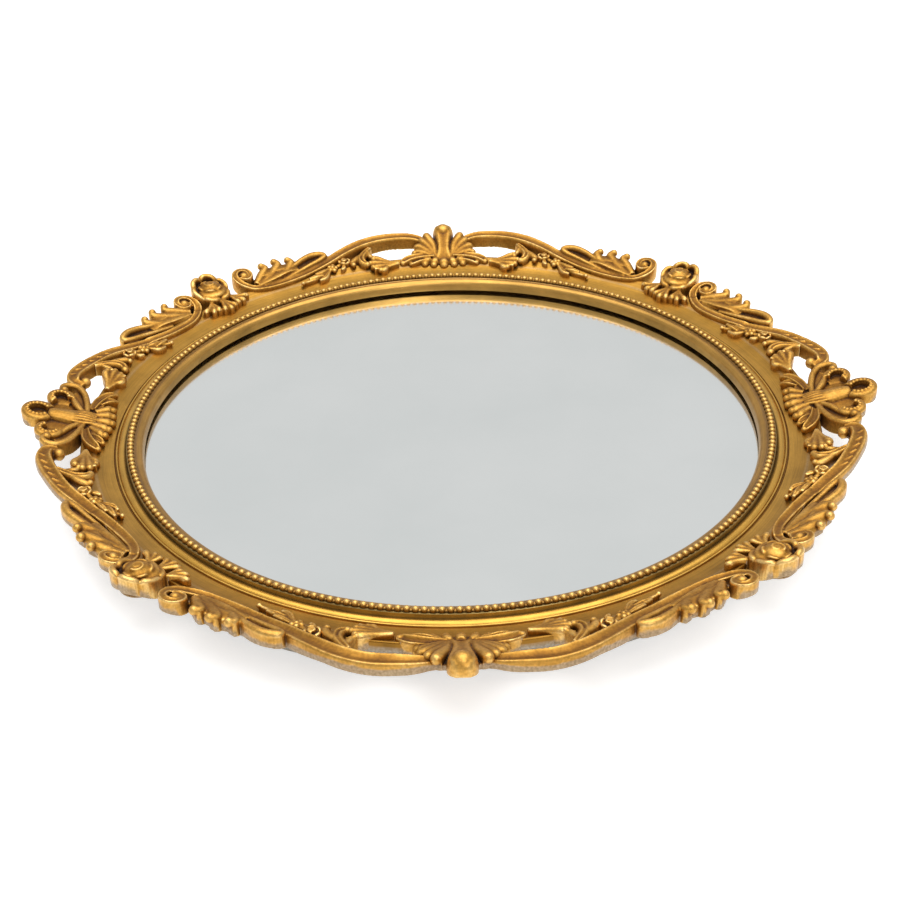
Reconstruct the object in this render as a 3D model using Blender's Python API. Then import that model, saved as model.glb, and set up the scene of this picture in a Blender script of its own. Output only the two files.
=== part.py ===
"""Round mirror tray in a gilded ornamental frame, in metres, +Z up.

A turned ring holds a mirror floor on a back board.  A pearl moulding and
cast ornaments are glued on top of the ring, four turn buttons hold the
board in from below, and four rubber feet carry the tray.
The origin is on the table under the middle of the tray.  +X and -X run
through the two cartouches, +Y and -Y through the two shells.
"""

import math

import bmesh
import bpy
from mathutils import Matrix, Vector

# Clearances
SEAT_GAP = 0.0003
REBATE_CLEARANCE = 0.0006
HOLE_CLEARANCE = 0.0003

# Mirror, board and the lip over them
GLASS_RADIUS = 0.1233
GLASS_THICKNESS = 0.003
BOARD_THICKNESS = 0.003
LIP_OVERLAP = 0.004
LIP_EDGE = 0.0019

# Rubber feet
FOOT_HEIGHT = 0.005
FOOT_RADIUS = 0.007
FOOT_TIP_RADIUS = 0.0055
FOOT_ROUND = 0.0012

# Turn buttons and their screws
BUTTON_THICKNESS = 0.0012
BUTTON_WIDTH = 0.009
BUTTON_REACH = 0.013
BUTTON_TAIL = 0.0045
SCREW_HEAD_RADIUS = 0.0031
SCREW_HEAD_THICKNESS = 0.0012
SCREW_HEAD_ROUND = 0.0006
SCREW_SHANK_RADIUS = 0.0013
SCREW_DEPTH = 0.0065
SCREW_SLOT_WIDTH = 0.0008
SCREW_SLOT_DEPTH = 0.0006

# Turned moulding, from the lip outwards
CREST_ABOVE_GLASS = 0.0069
INNER_TORUS_WIDTH = 0.0027
INNER_TORUS_BULGE = 0.0008
HOLLOW_DEPTH = 0.0037
PEARL_OFFSET = 0.0047
PEARL_RADIUS = 0.0014
PEARL_FILLET = 0.0003
OUTER_TORUS_WIDTH = 0.0042
OUTER_TORUS_BULGE = 0.0007
GROOVE_DEPTH = 0.0036
COVE_WIDTH = 0.0128
COVE_RISE = 0.0034
EDGE_WALL = 0.0042
BACK_WIDTH = 0.0155

# Relief of the cast ornament
CROWN_OVER_EDGE = 0.0010
COVE_SLOPE = 0.20
CROWN_SLOPE = 0.38
SHELL_SLOPE = 0.42
CARTOUCHE_SLOPE = 0.28
SHOULDER_DROP = 0.0010
LAYER_DROP = 0.00007
RIM_LEDGE = 0.0035
RIM_LIFT = 0.0056
RIM_LIFT_WIDTH = 0.0110
RIM_REACH = 0.030
ROSE_RADIUS = 0.0086
ROSE_OUTSET = 0.0064
ROSE_CROWN = 0.0082

# Facets of the round pieces
TURNED_SEGMENTS = 72
SMALL_SEGMENTS = 20
HOLE_SEGMENTS = 12
ROUND_STEPS = 6
TORUS_STEPS = 4
LOOP_STEPS = 8
ROSE_SEGMENTS = 16

# Heights and radii that follow from the sizes above
under_z = FOOT_HEIGHT + SEAT_GAP
glass_z = under_z + BOARD_THICKNESS + SEAT_GAP
glass_top = glass_z + GLASS_THICKNESS
lip_z = glass_top + SEAT_GAP
crest_z = glass_top + CREST_ABOVE_GLASS
seat_z = crest_z - PEARL_RADIUS - SEAT_GAP
hollow_z = crest_z - HOLLOW_DEPTH
groove_z = crest_z - GROOVE_DEPTH
edge_z = groove_z + COVE_RISE
lip_radius = GLASS_RADIUS - LIP_OVERLAP
rebate_radius = GLASS_RADIUS + REBATE_CLEARANCE
pearl_circle = lip_radius + PEARL_OFFSET
fillet_half = PEARL_RADIUS + PEARL_FILLET
groove_radius = pearl_circle + fillet_half + OUTER_TORUS_WIDTH
edge_radius = groove_radius + COVE_WIDTH
back_radius = rebate_radius + BACK_WIDTH
pivot_radius = rebate_radius + BACK_WIDTH / 2

COMPASS = {"e": 0, "n": 90, "w": 180, "s": 270}
CORNERS = {"ne": 45, "nw": 135, "sw": 225, "se": 315}
# Each eighth of the rim: the axis it starts from, the way it runs round
EIGHTHS = {
    "ene": ("e", 1), "nne": ("n", -1), "nnw": ("n", 1), "wnw": ("w", -1),
    "wsw": ("w", 1), "ssw": ("s", -1), "sse": ("s", 1), "ese": ("e", -1),
}

GOLD = ((0.52, 0.31, 0.07), 0.38, 0.85)
PALE_GOLD = ((0.62, 0.42, 0.14), 0.32, 0.90)
SILVERED_GLASS = ((0.80, 0.82, 0.82), 0.03, 1.0)
BOARD_BROWN = ((0.20, 0.12, 0.07), 0.85, 0.0)
STEEL = ((0.55, 0.54, 0.52), 0.35, 1.0)
RUBBER = ((0.03, 0.03, 0.03), 0.80, 0.0)


def clear_scene():
    for old in list(bpy.data.objects):
        bpy.data.objects.remove(old, do_unlink=True)


def finish_material(name, finish):
    colour, roughness, metallic = finish
    material = bpy.data.materials.new(name)
    material.use_nodes = True
    shader = material.node_tree.nodes["Principled BSDF"]
    shader.inputs["Base Color"].default_value = (*colour, 1)
    shader.inputs["Roughness"].default_value = roughness
    shader.inputs["Metallic"].default_value = metallic
    return material


def add_object(name, mesh, finish, location=(0, 0, 0), turn=0.0):
    """Put a mesh in the scene as a node with a material of its own."""
    mesh.materials.clear()
    mesh.materials.append(finish_material(name, finish))
    mesh.shade_smooth()
    mesh.set_sharp_from_angle(angle=math.radians(30))
    thing = bpy.data.objects.new(name, mesh)
    bpy.context.collection.objects.link(thing)
    thing.location = location
    thing.rotation_euler = (0, 0, turn)
    return thing


def mesh_from(bm, name):
    """Close a bmesh into a mesh with its faces pointing out."""
    bmesh.ops.recalc_face_normals(bm, faces=bm.faces)
    mesh = bpy.data.meshes.new(name)
    bm.to_mesh(mesh)
    bm.free()
    return mesh


def cut_helper(mesh):
    """A hidden object that only cuts or joins others."""
    helper = bpy.data.objects.new("helper_" + mesh.name, mesh)
    bpy.context.collection.objects.link(helper)
    helper.hide_render = True
    helper.display_type = "WIRE"
    return helper


def combined(mesh, operation, tools, solver="EXACT"):
    """The mesh after a Boolean with each tool mesh in turn."""
    work = cut_helper(mesh)
    helpers = [cut_helper(tool) for tool in tools]
    for helper in helpers:
        step = work.modifiers.new(operation.lower(), "BOOLEAN")
        step.operation = operation
        step.solver = solver
        step.object = helper
    graph = bpy.context.evaluated_depsgraph_get()
    result = bpy.data.meshes.new_from_object(work.evaluated_get(graph))
    for used in [work] + helpers:
        bpy.data.objects.remove(used, do_unlink=True)
    return result


def bulge(start, end, height, steps):
    """Points of a circular arc from start to end, raised on its left side."""
    start = Vector(start)
    end = Vector(end)
    chord = end - start
    left = Vector((-chord.y, chord.x)).normalized()
    radius = (chord.length / 2) ** 2 / (2 * height) + height / 2
    centre = (start + end) / 2 + left * (height - radius)
    half = math.asin(min(1, chord.length / 2 / radius))
    points = []
    for step in range(steps + 1):
        angle = half - 2 * half * step / steps
        along = -math.sin(angle) * radius
        points.append(centre + chord.normalized() * along + left * math.cos(angle) * radius)
    return [tuple(point) for point in points]


def turned(name, profile, segments, closed=True):
    """Spin a profile of (radius, height) points round the Z axis."""
    bm = bmesh.new()
    ring = [bm.verts.new((radius, 0, height)) for radius, height in profile]
    pairs = list(zip(ring, ring[1:]))
    if closed:
        pairs.append((ring[-1], ring[0]))
    edges = [bm.edges.new(pair) for pair in pairs]
    bmesh.ops.spin(bm, geom=ring + edges, cent=(0, 0, 0), axis=(0, 0, 1), angle=2 * math.pi,
                   steps=segments, use_merge=True)
    bmesh.ops.remove_doubles(bm, verts=bm.verts, dist=1e-6)
    return mesh_from(bm, name)


def disc(name, radius, bottom, thickness):
    bm = bmesh.new()
    bmesh.ops.create_cone(bm, cap_ends=True, segments=TURNED_SEGMENTS, radius1=radius, radius2=radius,
                          depth=thickness, matrix=Matrix.Translation((0, 0, bottom + thickness / 2)))
    return mesh_from(bm, name)


def smooth_path(points, steps):
    """Catmull-Rom points through a list of equal-length tuples."""
    points = [Vector(point) for point in points]
    padded = [2 * points[0] - points[1]] + points + [2 * points[-1] - points[-2]]
    path = []
    for a, b, c, d in zip(padded, padded[1:], padded[2:], padded[3:]):
        for step in range(steps):
            s = step / steps
            path.append((2 * b + (c - a) * s + (2 * a - 5 * b + 4 * c - d) * s ** 2
                         + (3 * b - a - 3 * c + d) * s ** 3) / 2)
    return path + [points[-1]]


def on_rim(degrees, reach):
    """Plan position at an angle round the tray, reach beyond the ring's edge."""
    angle = math.radians(degrees)
    radius = edge_radius + reach
    return Vector((math.cos(angle) * radius, math.sin(angle) * radius))


def crown_height(spot, slope):
    """Height of the ornament's crown at a plan position: the slope holds outside the ring's edge."""
    reach = spot.length - edge_radius
    return edge_z + CROWN_OVER_EDGE + reach * (slope if reach > 0 else COVE_SLOPE)


def ribbon(name, stations, drop, steps, slope):
    """A relief strip along stations of (degrees, reach, half width)."""
    path = smooth_path(stations, steps)
    spots = [on_rim(station.x, station.y) for station in path]
    bm = bmesh.new()
    loops = []
    for index, (spot, station) in enumerate(zip(spots, path)):
        ahead = spots[min(index + 1, len(spots) - 1)]
        behind = spots[max(index - 1, 0)]
        along = (ahead - behind).normalized()
        side = Vector((-along.y, along.x)) * station.z
        crown = crown_height(spot, slope) - drop
        shoulder = crown - SHOULDER_DROP
        root = under_z - drop
        outline = [(spot + side, root), (spot + side, shoulder), (spot, crown),
                   (spot - side, shoulder), (spot - side, root)]
        loops.append([bm.verts.new((*plan, height)) for plan, height in outline])
    for first, second in zip(loops, loops[1:]):
        for k in range(len(first)):
            n = (k + 1) % len(first)
            bm.faces.new((first[k], first[n], second[n], second[k]))
    bm.faces.new(loops[0])
    bm.faces.new(loops[-1])
    return mesh_from(bm, name)


def air_below_rim():
    """The space that ornaments stay out of: the ring, the pearls and the air under the rim."""
    ledge = edge_z - EDGE_WALL
    ledge_end = edge_radius + RIM_LEDGE
    profile = [
        (rebate_radius, 0), (rebate_radius, crest_z + SEAT_GAP),
        (pearl_circle + fillet_half, crest_z + SEAT_GAP), (groove_radius, groove_z + SEAT_GAP),
        (edge_radius, edge_z + SEAT_GAP), (edge_radius + SEAT_GAP, edge_z + SEAT_GAP),
        (edge_radius + SEAT_GAP, ledge), (ledge_end, ledge), (ledge_end + RIM_LIFT_WIDTH, ledge + RIM_LIFT),
        (edge_radius + RIM_REACH, ledge + RIM_LIFT), (edge_radius + RIM_REACH, 0),
    ]
    return turned("air_below_rim", profile, TURNED_SEGMENTS)


def ornament(name, strips, extra=(), steps=1, slope=CROWN_SLOPE):
    """Strips, each a little lower than the one before, as one casting fitted to the ring."""
    meshes = list(extra)
    for level, strip in enumerate(strips):
        meshes.append(ribbon(name, strip, level * LAYER_DROP, steps, slope))
    whole = combined(meshes[0], "UNION", meshes[1:], "MANIFOLD")
    return combined(whole, "DIFFERENCE", [air_below_rim()], "MANIFOLD")


def both_sides(strip):
    """A strip and its mirror image across the ornament's axis."""
    return [strip, [(-degrees, reach, half) for degrees, reach, half in strip]]


def handed(mesh, way):
    """A copy of an ornament for an eighth that runs round the given way."""
    copy = mesh.copy()
    if way < 0:
        copy.transform(Matrix.Scale(-1, 4, (0, 1, 0)))
        copy.flip_normals()
    return copy


def frame_ring_mesh():
    lip_top = lip_z + LIP_EDGE
    inner_end = (lip_radius + INNER_TORUS_WIDTH, hollow_z)
    outer_start = (pearl_circle + fillet_half, hollow_z)
    profile = [(lip_radius, lip_z)]
    profile += bulge((lip_radius, lip_top), inner_end, INNER_TORUS_BULGE, TORUS_STEPS)
    profile += [(pearl_circle - fillet_half, hollow_z), (pearl_circle - fillet_half, seat_z)]
    profile += [(pearl_circle + fillet_half, seat_z)]
    profile += bulge(outer_start, (groove_radius, groove_z), OUTER_TORUS_BULGE, TORUS_STEPS)
    profile += [(edge_radius, edge_z), (edge_radius, edge_z - EDGE_WALL)]
    profile += [(back_radius, under_z), (rebate_radius, under_z), (rebate_radius, lip_z)]
    ring = turned("frame_ring", profile, TURNED_SEGMENTS)
    return combined(ring, "DIFFERENCE", [screw_hole(turn) for turn in COMPASS.values()])


def screw_hole(degrees):
    radius = SCREW_SHANK_RADIUS + HOLE_CLEARANCE
    depth = SCREW_DEPTH + HOLE_CLEARANCE
    middle = Vector((pivot_radius, 0, under_z))
    middle.rotate(Matrix.Rotation(math.radians(degrees), 3, "Z"))
    bm = bmesh.new()
    bmesh.ops.create_cone(bm, cap_ends=True, segments=HOLE_SEGMENTS, radius1=radius, radius2=radius,
                          depth=2 * depth, matrix=Matrix.Translation(middle))
    return mesh_from(bm, "screw_hole")


def pearl_moulding_mesh():
    low = seat_z + SEAT_GAP
    profile = bulge((pearl_circle - PEARL_RADIUS, low), (pearl_circle + PEARL_RADIUS, low),
                    PEARL_RADIUS, ROUND_STEPS)
    return turned("pearl_moulding", profile, TURNED_SEGMENTS)


def foot_mesh():
    profile = [(0, 0), (FOOT_TIP_RADIUS - FOOT_ROUND, 0), (FOOT_TIP_RADIUS, FOOT_ROUND)]
    profile += [(FOOT_RADIUS, FOOT_HEIGHT), (0, FOOT_HEIGHT)]
    return turned("foot", profile, SMALL_SEGMENTS, closed=False)


def turn_button_mesh():
    """A flat steel clip, its pivot at the origin and its long arm towards -X."""
    half = BUTTON_WIDTH / 2
    bm = bmesh.new()
    outline = bulge((-BUTTON_REACH + half, -half), (-BUTTON_REACH + half, half), half, ROUND_STEPS)
    outline += bulge((BUTTON_TAIL - half, half), (BUTTON_TAIL - half, -half), half, ROUND_STEPS)
    face = bm.faces.new([bm.verts.new((x, y, 0)) for x, y in outline])
    sides = bmesh.ops.extrude_face_region(bm, geom=[face], use_keep_orig=True)
    raised = [item for item in sides["geom"] if isinstance(item, bmesh.types.BMVert)]
    bmesh.ops.translate(bm, verts=raised, vec=(0, 0, BUTTON_THICKNESS))
    hole = bmesh.new()
    radius = SCREW_SHANK_RADIUS + HOLE_CLEARANCE
    bmesh.ops.create_cone(hole, cap_ends=True, segments=HOLE_SEGMENTS, radius1=radius, radius2=radius,
                          depth=4 * BUTTON_THICKNESS)
    return combined(mesh_from(bm, "turn_button"), "DIFFERENCE", [mesh_from(hole, "pivot_hole")])


def screw_mesh():
    """A slotted pan head screw, its shank upwards and the origin under its head."""
    head = SCREW_HEAD_THICKNESS
    reach = head + 2 * SEAT_GAP + BUTTON_THICKNESS + SCREW_DEPTH
    profile = [(0, 0), (SCREW_HEAD_RADIUS - SCREW_HEAD_ROUND, 0), (SCREW_HEAD_RADIUS, SCREW_HEAD_ROUND)]
    profile += [(SCREW_HEAD_RADIUS, head), (SCREW_SHANK_RADIUS, head)]
    profile += [(SCREW_SHANK_RADIUS, reach - SCREW_SHANK_RADIUS), (0, reach)]
    screw = turned("button_screw", profile, HOLE_SEGMENTS, closed=False)
    slot = bmesh.new()
    bmesh.ops.create_cube(slot, size=1, matrix=Matrix.Diagonal(
        (4 * SCREW_HEAD_RADIUS, SCREW_SLOT_WIDTH, 2 * SCREW_SLOT_DEPTH, 1)))
    return combined(screw, "DIFFERENCE", [mesh_from(slot, "driver_slot")])


def scroll_mesh(band, lobe, tips):
    """An S-scroll: a band from its arch to the volute by the rose, with a lobe and acanthus tips outside."""
    fingers = []
    for degrees, reach in tips:
        fingers.append([(degrees - 1.0, -0.0024, 0.0025), (degrees - 0.4, reach / 2, 0.0021),
                        (degrees, reach, 0.0008)])
    return ornament("scroll", [band, lobe] + fingers, steps=2)


def shell_scroll_mesh():
    band = [(5.8, 0.0084, 0.0026), (7.6, 0.0122, 0.0032), (10.4, 0.0142, 0.0035), (14.2, 0.0124, 0.0034),
            (18.0, 0.0083, 0.0029), (22.0, 0.0036, 0.0026), (26.0, 0.0004, 0.0024), (30.0, -0.0016, 0.0023),
            (34.0, -0.0020, 0.0022), (37.2, -0.0008, 0.0020), (39.0, 0.0024, 0.0019), (39.3, 0.0066, 0.0018),
            (38.4, 0.0096, 0.0017), (37.0, 0.0092, 0.0016)]
    lobe = [(27.0, -0.0004, 0.0022), (25.4, 0.0034, 0.0026), (23.8, 0.0064, 0.0028), (22.6, 0.0082, 0.0018)]
    return scroll_mesh(band, lobe, [(28.8, 0.0098), (31.0, 0.0112), (33.6, 0.0104)])


def cartouche_scroll_mesh():
    band = [(9.2, 0.0086, 0.0030), (10.8, 0.0116, 0.0034), (13.6, 0.0120, 0.0034), (16.8, 0.0102, 0.0032),
            (20.0, 0.0074, 0.0029), (24.0, 0.0028, 0.0026), (28.0, -0.0007, 0.0024), (32.0, -0.0029, 0.0022),
            (36.0, -0.0034, 0.0021), (39.0, -0.0018, 0.0020), (40.4, 0.0020, 0.0019), (40.6, 0.0062, 0.0018),
            (39.8, 0.0092, 0.0017), (38.6, 0.0088, 0.0016)]
    lobe = [(30.0, -0.0020, 0.0022), (28.4, 0.0030, 0.0026), (26.8, 0.0066, 0.0028), (25.5, 0.0090, 0.0018)]
    return scroll_mesh(band, lobe, [(30.8, 0.0104), (33.5, 0.0114), (35.8, 0.0100)])


def shell_branch_mesh():
    """The acanthus leaf that curls from the arch down to the cove, beside a shell."""
    return ornament("acanthus", [[(15.4, -0.0028, 0.0016), (15.3, 0.0010, 0.0024),
                                  (14.6, 0.0044, 0.0018), (13.8, 0.0066, 0.0010)]])


def cartouche_branch_mesh():
    return ornament("acanthus", [[(15.4, -0.0062, 0.0016), (15.2, -0.0020, 0.0026),
                                  (14.4, 0.0024, 0.0022), (13.2, 0.0052, 0.0012)]])


def shell_spray_mesh():
    """A spray of two roses and leaves on the cove, inside the scroll by a shell."""
    return ornament("spray", [[(17.8, 0.0020, 0.0019), (19.8, 0.0002, 0.0022), (22.4, -0.0028, 0.0021),
                               (25.4, -0.0056, 0.0019), (28.6, -0.0072, 0.0010)]])


def cartouche_spray_mesh():
    return ornament("spray", [[(20.0, 0.0017, 0.0018), (21.8, -0.0005, 0.0021), (24.2, -0.0035, 0.0020),
                               (27.0, -0.0065, 0.0018), (29.8, -0.0084, 0.0010)]])


def shell_plume_mesh():
    """The fluted plume that lies along the ring's edge beside a shell."""
    return ornament("plume", [[(8.9, -0.0016, 0.0020), (10.2, -0.0008, 0.0028), (12.2, -0.0014, 0.0033),
                               (13.3, -0.0024, 0.0020)]])


def cartouche_plume_mesh():
    return ornament("plume", [[(9.3, -0.0046, 0.0022), (10.4, -0.0040, 0.0034), (12.2, -0.0046, 0.0040),
                               (13.4, -0.0058, 0.0024)]])


def skirt_strips(root, depth, ear_degrees, ear_reach):
    """Petals that fan from a root over the cove to a depth, between two large ear leaves."""
    strips = both_sides([(1.6, root, 0.0026), (ear_degrees * 0.6, (root + ear_reach) / 2, 0.0028),
                         (ear_degrees, ear_reach, 0.0014)])
    middle = root + 0.6 * (depth - root)
    for degrees in (4.0, 2.0, 0.0):
        petal = [(degrees * 0.4, root, 0.0020), (degrees * 0.75, middle, 0.0021), (degrees, depth, 0.0010)]
        strips += both_sides(petal) if degrees else [petal]
    return strips


def shell_mesh():
    """A smooth tongue between flutes, with a skirt of petals."""
    tongue = [(0, -0.0050, 0.0036), (0, 0.0060, 0.0032), (0, 0.0148, 0.0040), (0, 0.0196, 0.0028)]
    flutes = both_sides([(0.8, -0.0034, 0.0022), (1.9, 0.0060, 0.0020), (2.9, 0.0146, 0.0014)])
    flutes += both_sides([(1.0, -0.0030, 0.0022), (3.0, 0.0050, 0.0020), (4.2, 0.0110, 0.0013)])
    flutes += both_sides([(1.2, -0.0026, 0.0022), (3.8, 0.0026, 0.0020), (5.0, 0.0064, 0.0012)])
    skirt = skirt_strips(-0.0016, -0.0076, 8.2, -0.0050)
    return ornament("shell", [tongue] + flutes + skirt, slope=SHELL_SLOPE)


def loop_strip(centre_degrees, centre_reach, radius, half, start, end):
    """A strip bent round a point of the rim, as an open loop."""
    strip = []
    for k in range(LOOP_STEPS + 1):
        angle = math.radians(start + (end - start) * k / LOOP_STEPS)
        sideways = math.degrees(math.sin(angle) * radius / (edge_radius + centre_reach))
        strip.append((centre_degrees + sideways, centre_reach + math.cos(angle) * radius, half))
    return strip


def cartouche_mesh():
    """A tongue in a beaded loop, with a smaller loop and a lobe each side."""
    tongue = [(0, -0.0050, 0.0042), (0, 0.0050, 0.0038), (0, 0.0150, 0.0034)]
    crest_loop = loop_strip(0, 0.0176, 0.0050, 0.0016, -125, 125)
    side_loop = loop_strip(4.4, 0.0118, 0.0040, 0.0015, -60, 200)
    lobe = [(1.0, -0.0030, 0.0026), (4.4, 0.0020, 0.0032), (7.2, 0.0066, 0.0022)]
    rib = [(0.9, -0.0026, 0.0022), (2.6, 0.0050, 0.0024), (3.6, 0.0100, 0.0018)]
    strips = [tongue, crest_loop] + both_sides(side_loop) + both_sides(rib) + both_sides(lobe)
    skirt = skirt_strips(-0.0018, -0.0102, 8.6, -0.0070)
    return ornament("cartouche", strips + skirt, slope=CARTOUCHE_SLOPE)


def rose_mesh():
    """A full-blown rose over the ring's edge with a palmette on the cove."""
    spot = on_rim(0, ROSE_OUTSET)
    bm = bmesh.new()
    bmesh.ops.create_uvsphere(bm, u_segments=ROSE_SEGMENTS, v_segments=ROSE_SEGMENTS // 2,
                              radius=ROSE_RADIUS)
    bmesh.ops.scale(bm, vec=(1, 1, ROSE_CROWN / ROSE_RADIUS), verts=bm.verts)
    bmesh.ops.translate(bm, vec=(*spot, edge_z), verts=bm.verts)
    middle = [(0, 0.0, 0.0026), (0, -0.0060, 0.0024), (0, -0.0094, 0.0012)]
    fan = both_sides([(0.4, 0.0, 0.0022), (1.8, -0.0056, 0.0021), (2.8, -0.0084, 0.0011)])
    fan += both_sides([(0.6, 0.0, 0.0020), (2.6, -0.0036, 0.0020), (4.2, -0.0054, 0.0010)])
    return ornament("rose", [middle] + fan, extra=[mesh_from(bm, "rose_head")])


def add_tray():
    add_object("frame_ring", frame_ring_mesh(), GOLD)
    add_object("pearl_moulding", pearl_moulding_mesh(), PALE_GOLD)
    add_object("mirror_glass", disc("mirror_glass", GLASS_RADIUS, glass_z, GLASS_THICKNESS), SILVERED_GLASS)
    add_object("back_board", disc("back_board", GLASS_RADIUS, under_z, BOARD_THICKNESS), BOARD_BROWN)


def add_underside():
    button_z = under_z - SEAT_GAP - BUTTON_THICKNESS
    head_z = button_z - SEAT_GAP - SCREW_HEAD_THICKNESS
    button = turn_button_mesh()
    screw = screw_mesh()
    foot = foot_mesh()
    for side, degrees in COMPASS.items():
        turn = math.radians(degrees)
        spot = Vector((pivot_radius * math.cos(turn), pivot_radius * math.sin(turn)))
        add_object("turn_button_" + side, button.copy(), STEEL, (*spot, button_z), turn)
        add_object("button_screw_" + side, screw.copy(), STEEL, (*spot, head_z), turn)
    for corner, degrees in CORNERS.items():
        turn = math.radians(degrees)
        spot = Vector((pivot_radius * math.cos(turn), pivot_radius * math.sin(turn)))
        add_object("foot_" + corner, foot.copy(), RUBBER, (*spot, 0), turn)


def add_ornament():
    by_shell = {"scroll": shell_scroll_mesh(), "acanthus": shell_branch_mesh(),
                "spray": shell_spray_mesh(), "plume": shell_plume_mesh()}
    by_cartouche = {"scroll": cartouche_scroll_mesh(), "acanthus": cartouche_branch_mesh(),
                    "spray": cartouche_spray_mesh(), "plume": cartouche_plume_mesh()}
    for eighth, (axis, way) in EIGHTHS.items():
        pieces = by_shell if axis in "ns" else by_cartouche
        for piece, mesh in pieces.items():
            add_object(piece + "_" + eighth, handed(mesh, way), GOLD, turn=math.radians(COMPASS[axis]))
    shell = shell_mesh()
    cartouche = cartouche_mesh()
    rose = rose_mesh()
    for name, mesh, axis in (("shell_north", shell, "n"), ("shell_south", shell, "s"),
                             ("cartouche_east", cartouche, "e"), ("cartouche_west", cartouche, "w")):
        add_object(name, mesh.copy(), GOLD, turn=math.radians(COMPASS[axis]))
    for corner, degrees in CORNERS.items():
        add_object("rose_" + corner, rose.copy(), GOLD, turn=math.radians(degrees))


clear_scene()
add_tray()
add_underside()
add_ornament()
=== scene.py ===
"""Looks of a round mirror tray in a gilded ornamental frame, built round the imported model.

The moulding is turned, the pearls are set one by one, and each cast ornament is carved once from
stems, leaves, petals and balls, fused into one skin and set round the rim.  Carving is done in
millimetres, in the tray's own frame; a finished mesh is brought to metres as it is placed.
"""

import math

import bmesh
import bpy
from mathutils import Matrix, Vector


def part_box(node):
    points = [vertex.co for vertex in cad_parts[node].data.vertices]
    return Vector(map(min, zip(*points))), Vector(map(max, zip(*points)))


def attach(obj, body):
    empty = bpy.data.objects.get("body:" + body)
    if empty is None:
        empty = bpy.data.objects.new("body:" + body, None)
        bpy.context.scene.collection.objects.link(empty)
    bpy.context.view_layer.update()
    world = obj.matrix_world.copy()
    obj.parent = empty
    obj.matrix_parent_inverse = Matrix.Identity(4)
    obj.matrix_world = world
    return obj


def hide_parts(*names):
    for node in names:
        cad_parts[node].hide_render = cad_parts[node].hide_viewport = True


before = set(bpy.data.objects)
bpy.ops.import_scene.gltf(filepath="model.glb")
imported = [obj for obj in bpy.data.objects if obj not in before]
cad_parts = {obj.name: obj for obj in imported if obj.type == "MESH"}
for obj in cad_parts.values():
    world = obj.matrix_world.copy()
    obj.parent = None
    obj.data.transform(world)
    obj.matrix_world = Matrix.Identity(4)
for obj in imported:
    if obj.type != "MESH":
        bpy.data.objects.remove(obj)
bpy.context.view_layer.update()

MM = 0.001


def node_box(node):
    """Lowest and highest corner of a node, in millimetres."""
    low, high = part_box(node)
    return low / MM, high / MM


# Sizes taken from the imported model
ring_low, ring_high = node_box("frame_ring")
pearl_low, pearl_high = node_box("pearl_moulding")
glass_low, glass_high = node_box("mirror_glass")
board_low, board_high = node_box("back_board")
EDGE = ring_high.x
EDGE_Z = ring_high.z
UNDER_Z = ring_low.z
CREST_Z = pearl_high.z
PEARL_RADIUS = pearl_high.z - pearl_low.z
PEARL_CIRCLE = pearl_high.x - PEARL_RADIUS
GLASS_RADIUS = glass_high.x

# Turned moulding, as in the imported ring
LIP_OVERLAP = 4.0
LIP_EDGE = 1.9
INNER_TORUS_WIDTH = 2.7
INNER_TORUS_BULGE = 0.8
PEARL_FILLET = 0.3
OUTER_TORUS_WIDTH = 4.2
OUTER_TORUS_BULGE = 0.7
EDGE_WALL = 4.2
BACK_WIDTH = 15.5
REBATE_CLEARANCE = 0.6
SEAT_GAP = 0.3
HOLLOW_Z = CREST_Z - 3.7
GROOVE_Z = CREST_Z - 3.6
SEAT_Z = pearl_low.z - SEAT_GAP
LIP = GLASS_RADIUS - LIP_OVERLAP
REBATE = GLASS_RADIUS + REBATE_CLEARANCE
FILLET = PEARL_RADIUS + PEARL_FILLET
GROOVE = PEARL_CIRCLE + FILLET + OUTER_TORUS_WIDTH
LINE_BEAD = 0.45
COVE_DISH = 0.55
EDGE_ROUND = 0.6
RING_STEPS = 288

PEARL_COUNT = 272
PEARL_SHARE = 0.96
STRIP_HALF = 1.0
STRIP_BULGE = 0.7

SILVERING_DEPTH = 0.9
GLASS_ARRIS = 0.3
BOARD_ARRIS = 0.2
FOOT_TIP_SHARE = 0.79
FOOT_ROUND = 1.2

# Relief of the castings
BURY = 1.1
LEAST_RELIEF = 1.2
DEEPEST = 6.0
RIM_LEDGE = 3.5
RIM_SLOPE = 0.51
RIM_LIFT = 5.6
ENDING_EASE = 1.4
VOXEL = 0.3
FINE_VOXEL = 0.24
KEPT_FACES = 0.55
SOFTEN_PASSES = 2
CREASE_PASSES = 6
PATINA_PASSES = 26
BARE_BAND = 3.4
BARE_FADE = 1.6

COMPASS = {"e": 0, "n": 90, "w": 180, "s": 270}
CORNERS = {"ne": 45, "nw": 135, "sw": 225, "se": 315}
EIGHTHS = {
    "ene": ("e", 1), "nne": ("n", -1), "nnw": ("n", 1), "wnw": ("w", -1),
    "wsw": ("w", 1), "ssw": ("s", -1), "sse": ("s", 1), "ese": ("e", -1),
}


def both_sides(half):
    """A cross section that is given from its middle to one side, with the other side mirrored."""
    return [(-across, up) for across, up in reversed(half[1:])] + half


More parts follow.
